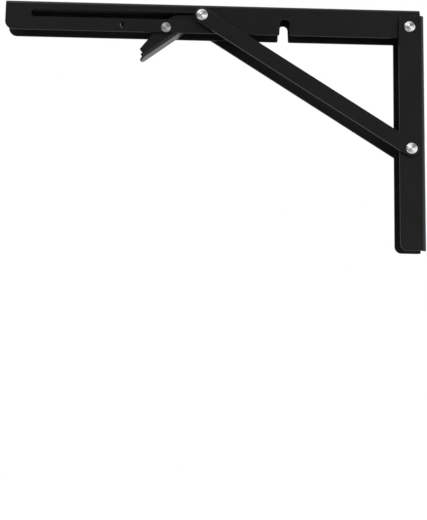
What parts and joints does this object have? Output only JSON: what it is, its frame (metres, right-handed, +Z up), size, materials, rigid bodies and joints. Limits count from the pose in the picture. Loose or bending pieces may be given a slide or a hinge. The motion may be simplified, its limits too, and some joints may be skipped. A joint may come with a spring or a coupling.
{
  "type": "folding shelf bracket",
  "caption": "Folding shelf bracket: a slotted channel arm folds down over a wall leg, propped by a sliding brace that a sprung release lever locks open.",
  "frame": {"origin": "the middle wall screw hole, on the back face of the leg, midway across its width", "axes": "+Z up along the leg, +X into the wall (the arm points along -X), +Y across the bracket"},
  "size_m": [0.3023, 0.0332, 0.1761],
  "materials": {
    "black_powder_coat": "matt black powder coat with a fine grain",
    "bright_rivet_steel": "bright riveted steel",
    "zinc_plated_steel": "bright zinc plate",
    "spring_steel": "drawn spring wire"
  },
  "bodies": {
    "leg": {"wall_leg": "black_powder_coat", "arm_pivot_rivet": "bright_rivet_steel", "foot_rivet": "bright_rivet_steel", "foot_sleeve": "zinc_plated_steel"},
    "arm": {"shelf_arm": "black_powder_coat", "arm_pivot_sleeve": "zinc_plated_steel", "lever_rivet": "bright_rivet_steel", "lever_sleeve": "zinc_plated_steel", "return_spring": "spring_steel"},
    "lever": {"release_lever": "black_powder_coat"},
    "slide": {"slide_pin": "zinc_plated_steel", "slide_washer_left": "zinc_plated_steel", "slide_washer_right": "zinc_plated_steel"},
    "brace": {"brace_left": "black_powder_coat", "brace_right": "black_powder_coat", "brace_rivet_left": "bright_rivet_steel", "brace_rivet_right": "bright_rivet_steel"}
  },
  "joints": [
    {"name": "arm_fold", "type": "hinge", "parent": "leg", "child": "arm", "pos_m": [-0.0105, 0, 0.0771], "axis": [0, -1, 0], "range_deg": [0, 90]},
    {"name": "brace_turn", "type": "hinge", "parent": "leg", "child": "brace", "pos_m": [-0.0105, 0, -0.0132], "axis": [0, -1, 0], "range_deg": [0, 120.8]},
    {"name": "pin_slide", "type": "slide", "parent": "arm", "child": "slide", "axis": [-1, 0, 0], "range_m": [0, 0.11749]},
    {"name": "lever_press", "type": "hinge", "parent": "arm", "child": "lever", "pos_m": [-0.18667, 0, 0.0728], "axis": [0, 1, 0], "range_deg": [0, 35], "stiffness_Nm_per_rad": 0.1, "springref_deg": -28.65, "deforming": ["return_spring"]}
  ],
  "couplings": [
    {"joint": "brace_turn", "follows": "arm_fold", "ratio": 1.3421},
    {"joint": "pin_slide", "follows": "arm_fold", "m_per_rad": 0.07479}
  ]
}
